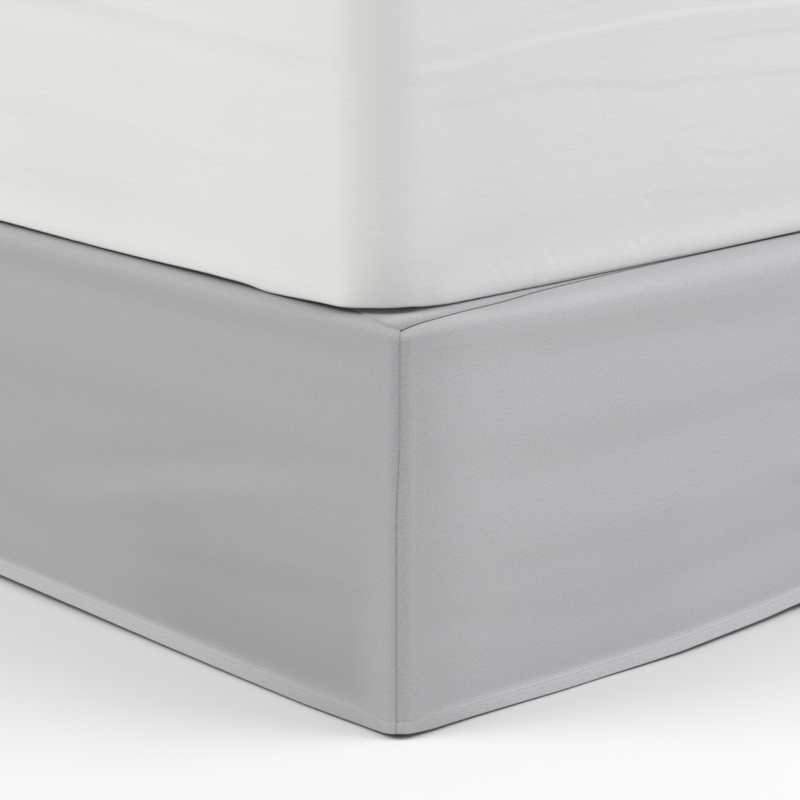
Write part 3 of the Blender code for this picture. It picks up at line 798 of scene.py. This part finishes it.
def deck_maps(vert):
    x, y = vert.co.xy
    return (x, y), (math.hypot(HALF_WIDTH - abs(x), HALF_LENGTH + y), DECK_REACH_UP)


def make_deck(paint):
    """The flat cloth under the mattress. A low welt of turned-in cloth runs along its seam."""
    body = bmesh.new()
    ring = [body.verts.new(set_out(route, -rim_inset(route), DECK_TOP)) for route in deck_routes()]
    face = bmesh.ops.contextual_create(body, geom=ring)["faces"][0]
    face.normal_update()
    if face.normal.z < 0:
        bmesh.ops.reverse_faces(body, faces=[face])
    height = WELT_START
    rings = [(ring, height)]
    for width, rise in WELT:
        height += rise
        known = set(body.verts)
        bmesh.ops.inset_region(body, faces=[face], thickness=width, depth=0.0, use_even_offset=True)
        rings.append(([vert for vert in body.verts if vert not in known], height))
    for verts, height in rings:
        for vert in verts:
            vert.co.z = DECK_TOP + height * welt_rise(vert.co)
    turn_under(body)
    spread_cloth(body, deck_maps)
    deck = add_piece("deck_cloth", body, paint)
    thicken(deck, DECK_SHEET)
    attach(deck, "root")
    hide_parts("deck")


def make_stitches(name, side, folds, paint):
    """The hem's row of stitches, each a small bead of thread lying in the groove above the hem."""
    routes = even_places(FOOT_STITCH_START - SPLIT, SPLIT - FOOT_STITCH_START, STITCH_PITCH)
    if side:
        start, end = SPLIT + SIDE_STITCH_START, CORNER_PLACE + SIDE_RUN - SIDE_STITCH_END
        routes = [side * place for place in even_places(start, end, STITCH_PITCH)]
    size = Matrix.Diagonal((STITCH_LONG, STITCH_THICK, STITCH_THICK, 1.0))
    body = bmesh.new()
    for route in routes:
        ends = []
        for place in (route - STITCH_LONG / 2, route + STITCH_LONG / 2):
            out, up, _ = cloth_place(Row("hem", STITCH_UP), place, folds, side)
            ends.append(set_out(place, out + STITCH_PROUD, up))
        middle = Matrix.Translation((ends[0] + ends[1]) / 2)
        turn = (ends[1] - ends[0]).to_track_quat("X", "Z").to_matrix().to_4x4()
        bmesh.ops.create_icosphere(body, subdivisions=1, radius=0.5, matrix=middle @ turn @ size)
    thread = add_piece(name, body, paint)
    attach(thread, "root")


def mattress_plan(place):
    """Where the rounding of the mattress's outline is centred at a place round it, and the way out."""
    stops = (2 * MATTRESS_RUN_X, MATTRESS_ARC, 2 * MATTRESS_RUN_Y, MATTRESS_ARC) * 2
    leg = 0
    while place > stops[leg] and leg < len(stops) - 1:
        place -= stops[leg]
        leg += 1
    quarter, rounding = divmod(leg, 2)
    turn = math.pi / 2 * (quarter - 1 + (place / MATTRESS_ARC if rounding else 0.0))
    normal = Vector((math.cos(turn), math.sin(turn)))
    sign_x, sign_y = ((1, -1), (1, 1), (-1, 1), (-1, -1))[quarter]
    centre = MATTRESS_MIDDLE + Vector((sign_x * MATTRESS_RUN_X, sign_y * MATTRESS_RUN_Y))
    if not rounding:
        centre -= Vector((-normal.y, normal.x)) * (stops[leg] - place)
    return centre, normal


def mattress_places():
    """Stations round the mattress, from the near corner along the foot end and back by the left side."""
    corner = (MATTRESS_ARC, ARC_STEP)
    stretches = (
        (NEAR_COVER, NEAR_FOOT_STEP),
        (2 * MATTRESS_RUN_X - NEAR_COVER, FAR_STEP), corner,
        (2 * MATTRESS_RUN_Y, FAR_STEP), corner,
        (2 * MATTRESS_RUN_X, FAR_STEP), corner,
        (2 * MATTRESS_RUN_Y - NEAR_COVER, FAR_STEP),
        (NEAR_COVER, NEAR_LEFT_STEP),
        (MATTRESS_ARC, NEAR_ARC_STEP),
    )
    places = [0.0]
    for length, step in stretches:
        places += even_places(places[-1], places[-1] + length, step)[1:]
    return places[:-1]


def distance_to_line(along, rise, first, last):
    run, climb = last[0] - first[0], last[1] - first[1]
    share = ((along - first[0]) * run + (rise - first[1]) * climb) / (run * run + climb * climb)
    share = min(max(share, 0.0), 1.0)
    return math.hypot(along - first[0] - share * run, rise - first[1] - share * climb)


def crease_height(creases, along, rise):
    """How far a cover stands out at a place, from the creases that run past it."""
    total = 0.0
    for crease in creases:
        reach = CREASE_REACH * crease.wide
        alongs, rises = zip(*crease.points)
        if not min(alongs) - reach < along < max(alongs) + reach:
            continue
        if not min(rises) - reach < rise < max(rises) + reach:
            continue
        spans = list(zip(crease.points, crease.points[1:]))
        nearest, share = min(
            (distance_to_line(along, rise, first, last), place / len(spans))
            for place, (first, last) in enumerate(spans)
        )
        height = crease.out * between(1.0, crease.last, share)
        total += height * math.exp(-((nearest / crease.wide) ** 2))
    return total


def gather_height(along, rise):
    total = 0.0
    for gather in GATHERS:
        up = rise - gather.low
        across = along - gather.along - gather.lean * up
        if abs(across) > 3.0 * GATHER_WIDE:
            continue
        shown = smooth_step(up, *GATHER_FOOT)
        shown *= 1.0 - smooth_step(up, GATHER_FADE * gather.length, gather.length)
        total += gather.out * shown * math.exp(-((across / GATHER_WIDE) ** 2))
    return total


def ledge_height(along, rise):
    total = 0.0
    for ledge in LEDGES:
        under = read(ledge.line, "height", along) - rise
        shown = smooth_step(along, ledge.start, ledge.start + LEDGE_FADE)
        step = smooth_step(under, -ledge.wide / 2, ledge.wide / 2)
        total += ledge.out * shown * step * math.exp(-max(under - ledge.wide / 2, 0.0) / ledge.relax)
    return total


def mattress_sides(place):
    """Distances from the near corner's middle along the left side and the foot end, below 0 past it."""
    near = MATTRESS_ROUND - MATTRESS_ARC
    if place > near:
        turned = 2.0 * (place - near) / MATTRESS_ARC - 1.0
        return -turned * MATTRESS_CORNER, turned * MATTRESS_CORNER
    return near - place + MATTRESS_CORNER, place + MATTRESS_CORNER


def mattress_fold(place, rise):
    """How far the cover's folds stand out on the two near sides, which blend at the corner."""
    from_left, from_foot = mattress_sides(place)
    foot_share = float(place < 2 * MATTRESS_RUN_X - TINY)
    if place > MATTRESS_ROUND - MATTRESS_ARC:
        foot_share = smooth_step(from_foot, -CORNER_BLEND, CORNER_BLEND)
    height = 0.0
    if foot_share > 0.0:
        along = max(from_foot, 0.0)
        foot = crease_height(FOOT_CREASES_OF_COVER, along, rise)
        height += foot_share * (foot + gather_height(along, rise) + ledge_height(along, rise))
    if foot_share < 1.0:
        height += (1.0 - foot_share) * crease_height(LEFT_CREASES, max(from_left, 0.0), rise)
    return height


def mattress_lift(place):
    """Height of the cover's lower edge over the deck."""
    from_left, from_foot = mattress_sides(place)
    if 0.0 <= from_left < LEFT_LIFT[-1].along:
        return read(LEFT_LIFT, "height", from_left)
    if from_foot < FOOT_LIFT[-1].along:
        return read(FOOT_LIFT, "height", from_foot)
    return FAR_LIFT


def mattress_rows():
    """The rows of the cover: under the mattress, its lower edge, side, upper edge and top."""
    count = round((MATTRESS_HEIGHT - MATTRESS_LOWER_EDGE - MATTRESS_TOP_EDGE) / MATTRESS_ROW_STEP)
    rows = [CoverRow("under", inset, rise) for inset, rise in COVER_UNDER]
    rows += [CoverRow("lower", i / 4, 0.0) for i in range(5)]
    rows += [CoverRow("side", i / count, 0.0) for i in range(1, count)]
    rows += [CoverRow("upper", i / 8, 0.0) for i in range(9)]
    return rows + [CoverRow("top", inset, 0.0) for inset in COVER_TOP_INSETS]


def inner_place(row, edge, lift):
    """A point of the cover's flat underside or top, drawn in from the mattress's edge."""
    drawn = (1.0 - row.share / MATTRESS_HALF_X, 1.0 - row.share / MATTRESS_HALF_Y)
    spot = MATTRESS_MIDDLE + (edge - MATTRESS_MIDDLE) * Vector(drawn)
    if row.zone == "under":
        return spot, lift * row.rise
    swell = noise.noise(Vector((spot.x, spot.y, 4.0)) / TOP_UNEVEN_SIZE)
    return spot, MATTRESS_HEIGHT + TOP_UNEVEN * swell


def cover_place(row, place):
    """A point of the cover in plan, and its height over the mattress's underside."""
    centre, normal = mattress_plan(place)
    edge = centre + normal * MATTRESS_CORNER
    lift = mattress_lift(place)
    if row.zone in ("under", "top"):
        return inner_place(row, edge, lift)
    turn = math.pi / 2 * row.share
    if row.zone == "lower":
        out = -MATTRESS_LOWER_EDGE * (1.0 - math.sin(turn))
        up = lift + MATTRESS_LOWER_EDGE * (1.0 - math.cos(turn))
    elif row.zone == "side":
        out = 0.0
        up = between(lift + MATTRESS_LOWER_EDGE, MATTRESS_HEIGHT - MATTRESS_TOP_EDGE, row.share)
    else:
        out = -MATTRESS_TOP_EDGE * (1.0 - math.cos(turn))
        up = MATTRESS_HEIGHT - MATTRESS_TOP_EDGE * (1.0 - math.sin(turn))
    out += SIDE_CROWN * math.sin(math.pi * up / MATTRESS_HEIGHT)
    out += mattress_fold(place, up) * smooth_step(up, *FOLD_FOOT)
    out += SIDE_UNEVEN * noise.noise(Vector((edge.x, edge.y, 0.6 * up)) / SIDE_UNEVEN_SIZE)
    return edge + normal * out, up


def make_mattress(paint):
    places, rows = mattress_places(), mattress_rows()
    columns, steps = len(places), len(rows) - 1
    body = bmesh.new()
    bmesh.ops.create_grid(body, x_segments=columns, y_segments=steps, size=0.5)
    for vert in body.verts:
        place = places[round((vert.co.x + 0.5) * columns) % columns]
        spot, up = cover_place(rows[round((vert.co.y + 0.5) * steps)], place)
        vert.co = (spot.x, spot.y, MATTRESS_LOW[2] + up)
    bmesh.ops.remove_doubles(body, verts=body.verts, dist=TINY)
    bmesh.ops.holes_fill(body, edges=[edge for edge in body.edges if edge.is_boundary], sides=0)
    bmesh.ops.recalc_face_normals(body, faces=body.faces)
    cover = add_piece("mattress_in_cover", body, paint)
    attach(cover, "root")
    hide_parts("mattress")


def bevel(body, edges, width, segments):
    bmesh.ops.bevel(
        body, geom=edges, offset=width, offset_type="OFFSET", segments=segments,
        profile=0.5, affect="EDGES", material=-1,
    )


def make_box_spring(paint, cord_paint):
    size = [high - low for low, high in zip(BOX_LOW, BOX_HIGH)]
    middle = [(high + low) / 2 for low, high in zip(BOX_LOW, BOX_HIGH)]
    body = bmesh.new()
    block = Matrix.Translation(middle) @ Matrix.Diagonal((*size, 1.0))
    bmesh.ops.create_cube(body, size=1.0, matrix=block)
    upright = [e for e in body.edges if abs(e.verts[0].co.z - e.verts[1].co.z) > size[2] / 2]
    bevel(body, upright, BOX_CORNER, 8)
    for height in (BOX_LOW[2], BOX_HIGH[2]):
        ring = [e for e in body.edges if all(abs(v.co.z - height) < TINY for v in e.verts)]
        bevel(body, ring, BOX_EDGE, 6)
    box = add_piece("box_spring_cover", body, paint)
    box.data.set_sharp_from_angle(angle=math.radians(40.0))
    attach(box, "root")
    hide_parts("box_spring")
    for name, height in PIPINGS.items():
        make_piping(name, height, cord_paint)


def make_piping(name, height, paint):
    """A cord in a fabric tube, sewn round the box spring at one height."""
    below_round = max(BOX_EDGE - (height - BOX_LOW[2]), 0.0)
    reach = BOX_CORNER - (BOX_EDGE - math.sqrt(BOX_EDGE**2 - below_round**2)) - PIPING_SUNK
    body = bmesh.new()
    rings = []
    for station in range(PIPING_STATIONS):
        turn = math.tau * (station + 0.5) / PIPING_STATIONS
        x, y = math.cos(turn), math.sin(turn)
        place = (
            math.copysign(HALF_WIDTH - BOX_CORNER, x) + x * reach,
            math.copysign(HALF_LENGTH - BOX_CORNER, y) + y * reach,
        )
        size = {"radius": PIPING_RADIUS, "segments": PIPING_SIDES}
        ring = bmesh.ops.create_circle(body, cap_ends=False, **size)["verts"]
        upright = Matrix((
            (x, 0.0, -y, place[0]),
            (y, 0.0, x, place[1]),
            (0.0, 1.0, 0.0, height),
            (0.0, 0.0, 0.0, 1.0),
        ))
        bmesh.ops.transform(body, matrix=upright, verts=ring)
        rings.append([e for e in body.edges if all(v in ring for v in e.verts)])
    for first, second in zip(rings, rings[1:] + rings[:1]):
        bmesh.ops.bridge_loops(body, edges=first + second)
    bmesh.ops.recalc_face_normals(body, faces=body.faces)
    piping = add_piece(name, body, paint)
    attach(piping, "root")


class Finish:
    """A material being mixed: it adds nodes and joins them to each other."""

    def __init__(self, name):
        self.paint = bpy.data.materials.new(name)
        self.paint.use_nodes = True
        self.nodes, self.links = self.paint.node_tree.nodes, self.paint.node_tree.links

    def fill(self, made, values):
        """Puts a number or another node's output at each input named."""
        for socket, value in values.items():
            if isinstance(value, bpy.types.NodeSocket):
                self.links.new(value, made.inputs[socket])
            else:
                made.inputs[socket].default_value = value
        return made

    def add(self, kind, values, **settings):
        made = self.nodes.new("ShaderNode" + kind)
        for name, setting in settings.items():
            setattr(made, name, setting)
        return self.fill(made, values)

    def surface(self, colour, normal, values):
        values = {"Base Color": colour, "Normal": normal, **values}
        self.fill(self.nodes["Principled BSDF"], values)
        return self.paint

    def cloth_map(self, name):
        return self.add("UVMap", {}, uv_map=name).outputs["UV"]

    def place(self):
        return self.add("TexCoord", {}).outputs["Object"]

    def stretched(self, source, scale):
        return self.add("Mapping", {"Scale": scale, "Vector": source}).outputs["Vector"]

    def blotches(self, vector, scale, detail=2.0):
        return self.add("TexNoise", {"Scale": scale, "Detail": detail, "Vector": vector}).outputs["Fac"]

    def tones(self, factor, dark, light):
        ends = {"A": (*dark, 1.0), "B": (*light, 1.0), "Factor": factor}
        return self.add("Mix", ends, data_type="RGBA").outputs["Result"]

    def bump(self, height, depth, **under):
        values = {"Strength": 1.0, "Distance": depth, "Height": height, **under}
        return self.add("Bump", values).outputs["Normal"]

    def fade(self, value, start, end, first=0.0, last=1.0):
        """One value up to the start and another past the end, smoothly joined."""
        ends = {"Value": value, "From Min": start, "From Max": end, "To Min": first, "To Max": last}
        return self.add("MapRange", ends, interpolation_type="SMOOTHSTEP").outputs["Result"]

    def combined(self, operation, *values):
        """Numbers and sockets put together, one after another."""
        total = values[0]
        for value in values[1:]:
            total = self.add("Math", {0: total, 1: value}, operation=operation).outputs["Value"]
        return total

    def weave(self, vector, pitch):
        """Warp and weft threads as two crossed waves."""
        waves = {"Scale": WAVE_LENGTH / pitch, "Distortion": 0.6, "Detail": 1.0, "Vector": vector}
        threads = [self.add("TexWave", waves, bands_direction=way).outputs["Fac"] for way in ("X", "Y")]
        return self.combined("MULTIPLY", *threads)


def painted_light_and_shade(finish, tone):
    """How much lighter or darker the cloth is painted by place, as painted light and shade: the doubled hem
    is painted lighter, a painted highlight, and the cloth above it, by the corner and over the box's edge
    is painted darker, as painted shade."""
    split = finish.add("SeparateXYZ", {"Vector": finish.cloth_map("reach")})
    along, up = split.outputs["X"], split.outputs["Y"]
    hem = finish.combined(
        "MULTIPLY",
        finish.fade(up, *HEM_SHADE_UP, 1.0, 0.0),
        finish.fade(along, HEM_SHADE_START, tone.hem_end, tone.hem_near, tone.hem_far),
    )
    low = finish.combined(
        "MULTIPLY",
        finish.fade(up, *LOW_SHADE_START),
        finish.fade(up, *LOW_SHADE_END, 1.0, 0.0),
        finish.fade(along, *LOW_SHADE_NEAR),
        finish.fade(along, *LOW_SHADE_FAR, tone.low, 0.0),
    )
    lip = finish.combined(
        "MULTIPLY",
        finish.fade(up, *LIP_SHADE_UP),
        finish.fade(along, *LIP_SHADE_ALONG, tone.lip_near, tone.lip_far),
    )
    corner = finish.fade(along, *CORNER_SHADE, tone.corner, 0.0)
    crease = finish.fade(along, *CREASE_SHADE, tone.crease, 0.0)
    return finish.combined("ADD", 1.0, hem, low, lip, corner, crease)


def skirt_paint(name, colour, tone, spread):
    """Smooth silver-grey cloth: a fine even weave with slight slubs and a faint sheen, with painted light
    and shade by place.
    """
    finish = Finish(name)
    cloth = finish.cloth_map("cloth")
    slub = finish.blotches(finish.stretched(cloth, SLUB_SCALE), 1.0)
    grain = finish.blotches(cloth, SKIRT_GRAIN, 2.5)
    mottle = finish.combined(
        "ADD",
        finish.combined("MULTIPLY", slub, SLUB_SHARE),
        finish.combined("MULTIPLY", grain, 1.0 - SLUB_SHARE),
    )
    dark = [(1.0 - spread) * value for value in colour]
    light = [(1.0 + spread) * value for value in colour]
    shades = {"Vector": finish.tones(mottle, dark, light), "Scale": painted_light_and_shade(finish, tone)}
    shade = finish.add("VectorMath", shades, operation="SCALE").outputs["Vector"]
    grained = finish.bump(grain, 0.00012)
    woven = finish.bump(finish.weave(cloth, THREAD_PITCH), 0.00005, Normal=grained)
    return finish.surface(shade, woven, {
        "Roughness": 0.62, "Sheen Weight": 0.10, "Sheen Roughness": 0.45, "Specular IOR Level": 0.35,
    })


def cover_paint():
    """Plain white cotton with small crinkles."""
    finish = Finish("mattress_cover")
    place = finish.place()
    colour = finish.tones(finish.blotches(place, 6.0, 3.0), COVER_DARK, COVER_LIGHT)
    crinkle = finish.blotches(finish.stretched(place, CRINKLE_SCALE), 1.0, 6.0)
    crinkled = finish.bump(crinkle, 0.00040)
    grained = finish.bump(finish.blotches(place, 700.0), 0.0001, Normal=crinkled)
    return finish.surface(colour, grained, {
        "Roughness": 0.78, "Sheen Weight": 0.10, "Specular IOR Level": 0.3,
    })


def ticking_paint():
    """Pale ticking with thin woven stripes."""
    finish = Finish("box_ticking")
    place = finish.place()
    around = finish.add("VectorMath", {0: place, 1: (1.0, 1.0, 0.0)}, operation="DOT_PRODUCT")
    wave = {"Scale": 32.0, "Vector": around.outputs["Value"]}
    stripes = finish.add("TexWave", wave, bands_direction="X")
    ramp = finish.add("ValToRGB", {"Fac": stripes.outputs["Fac"]})
    for element, (position, colour) in zip(ramp.color_ramp.elements, TICKING_STRIPES):
        element.position = position
        element.color = (*colour, 1.0)
    grained = finish.bump(finish.blotches(place, 500.0), 0.0002)
    return finish.surface(ramp.outputs["Color"], grained, {"Roughness": 0.85})


def plain_paint(name, dark, light, roughness, metallic, scale, depth):
    """A solid colour with slight changes of tone and a fine uneven surface."""
    finish = Finish(name)
    place = finish.place()
    colour = finish.tones(finish.blotches(place, scale, 4.0), dark, light)
    grained = finish.bump(finish.blotches(place, 20.0 * scale), depth)
    return finish.surface(colour, grained, {"Roughness": roughness, "Metallic": metallic})


def repaint_frame():
    steel = plain_paint("frame_steel", STEEL_DARK, STEEL_LIGHT, 0.42, 0.3, 30.0, 0.0001)
    plastic = plain_paint("glide_plastic", (0.016,) * 3, (0.026,) * 3, 0.5, 0.0, 40.0, 0.0001)
    for name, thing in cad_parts.items():
        if name.startswith(("glide", "leg", "side_rail", "cross_rail")):
            thing.data.materials.clear()
            thing.data.materials.append(plastic if name.startswith("glide") else steel)


def make_floor():
    body = bmesh.new()
    bmesh.ops.create_grid(body, x_segments=1, y_segments=1, size=FLOOR_HALF)
    paint = plain_paint("studio_floor", (0.69,) * 3, (0.72,) * 3, 0.9, 0.0, 0.6, 0.00005)
    floor = add_piece("studio_floor", body, paint, smooth=False)
    floor.location.z = -FLOOR_DROP


def hang_lamp(name, lamp, colour, power, place, target):
    lamp.color = colour
    lamp.energy = power
    thing = bpy.data.objects.new(name, lamp)
    thing.location = place
    thing.rotation_euler = (Vector(target) - Vector(place)).to_track_quat("-Z", "Y").to_euler()
    bpy.context.scene.collection.objects.link(thing)


def make_studio():
    scene = bpy.context.scene
    scene.view_settings.view_transform = "Standard"
    world = bpy.data.worlds.new("studio")
    world.use_nodes = True
    world.node_tree.nodes["Background"].inputs["Color"].default_value = (1.0, 1.0, 1.0, 1.0)
    world.node_tree.nodes["Background"].inputs["Strength"].default_value = WORLD_STRENGTH
    scene.world = world
    for name, sun in SUNS.items():
        lamp = bpy.data.lights.new(name, "SUN")
        lamp.angle = math.radians(sun.spread)
        way, height = math.radians(sun.way), math.radians(sun.height)
        flat = SUN_DISTANCE * math.cos(height)
        place = (flat * math.cos(way), flat * math.sin(way), SUN_DISTANCE * math.sin(height))
        hang_lamp(name, lamp, sun.colour, sun.strength, place, (0.0, 0.0, 0.0))
    for name, box in SOFTBOXES.items():
        lamp = bpy.data.lights.new(name, "AREA")
        lamp.size = box.side
        hang_lamp(name, lamp, box.colour, box.power, box.place, box.target)


def make_camera():
    turn, pitch = math.radians(EYE_TURN), math.radians(EYE_PITCH)
    ahead = Vector((math.sin(turn), math.cos(turn), 0.0))
    lens = bpy.data.cameras.new("eye")
    lens.lens = EYE_LENS
    eye = bpy.data.objects.new("eye", lens)
    eye.location = Vector(EYE_CORNER) - ahead * EYE_DISTANCE + Vector((0.0, 0.0, EYE_HEIGHT))
    look = ahead * math.cos(pitch) - Vector((0.0, 0.0, math.sin(pitch)))
    eye.rotation_euler = look.to_track_quat("-Z", "Y").to_euler()
    bpy.context.scene.collection.objects.link(eye)
    bpy.context.scene.camera = eye


make_camera()
make_studio()
make_floor()
# The side drops and the foot drop are one cloth in two copies: painted darker on the side drops as painted
# shade, and lighter on the foot drop as painted light, for how the light falls on each face.
side_cloth_painted_darker = skirt_paint("skirt_cloth_side_painted_darker", (0.333, 0.335, 0.348), SIDE_TONE, 0.21)
foot_cloth_painted_lighter = skirt_paint("skirt_cloth_foot_painted_lighter", (0.419, 0.419, 0.430), FOOT_TONE, 0.28)
foot_folds = [*FOOT_FOLDS, *FOOT_CREASES, *carried_folds(FOOT_RUN)]
side_folds = [*SIDE_FOLDS, *SIDE_CREASES, *carried_folds(SIDE_RUN)]
make_drop("foot_drop_cloth", "foot_drop", 0.0, foot_folds, foot_cloth_painted_lighter)
make_drop("left_drop_cloth", "left_drop", -1.0, side_folds, side_cloth_painted_darker)
make_drop("right_drop_cloth", "right_drop", 1.0, side_folds, side_cloth_painted_darker)
# The deck is the same cloth again, painted lighter than the drops as painted light on its top.
make_deck(skirt_paint("skirt_cloth_deck_painted_lighter", (0.470, 0.472, 0.485), DECK_TONE, 0.24))
thread_paint = plain_paint("hem_thread", THREAD_DARK, THREAD_LIGHT, 0.6, 0.0, 300.0, 0.00005)
make_stitches("foot_hem_stitches", 0.0, foot_folds, thread_paint)
make_stitches("left_hem_stitches", -1.0, side_folds, thread_paint)
make_stitches("right_hem_stitches", 1.0, side_folds, thread_paint)
make_mattress(cover_paint())
piping_paint = plain_paint("piping_cloth", PIPING_DARK, PIPING_LIGHT, 0.8, 0.0, 200.0, 0.0001)
make_box_spring(ticking_paint(), piping_paint)
repaint_frame()
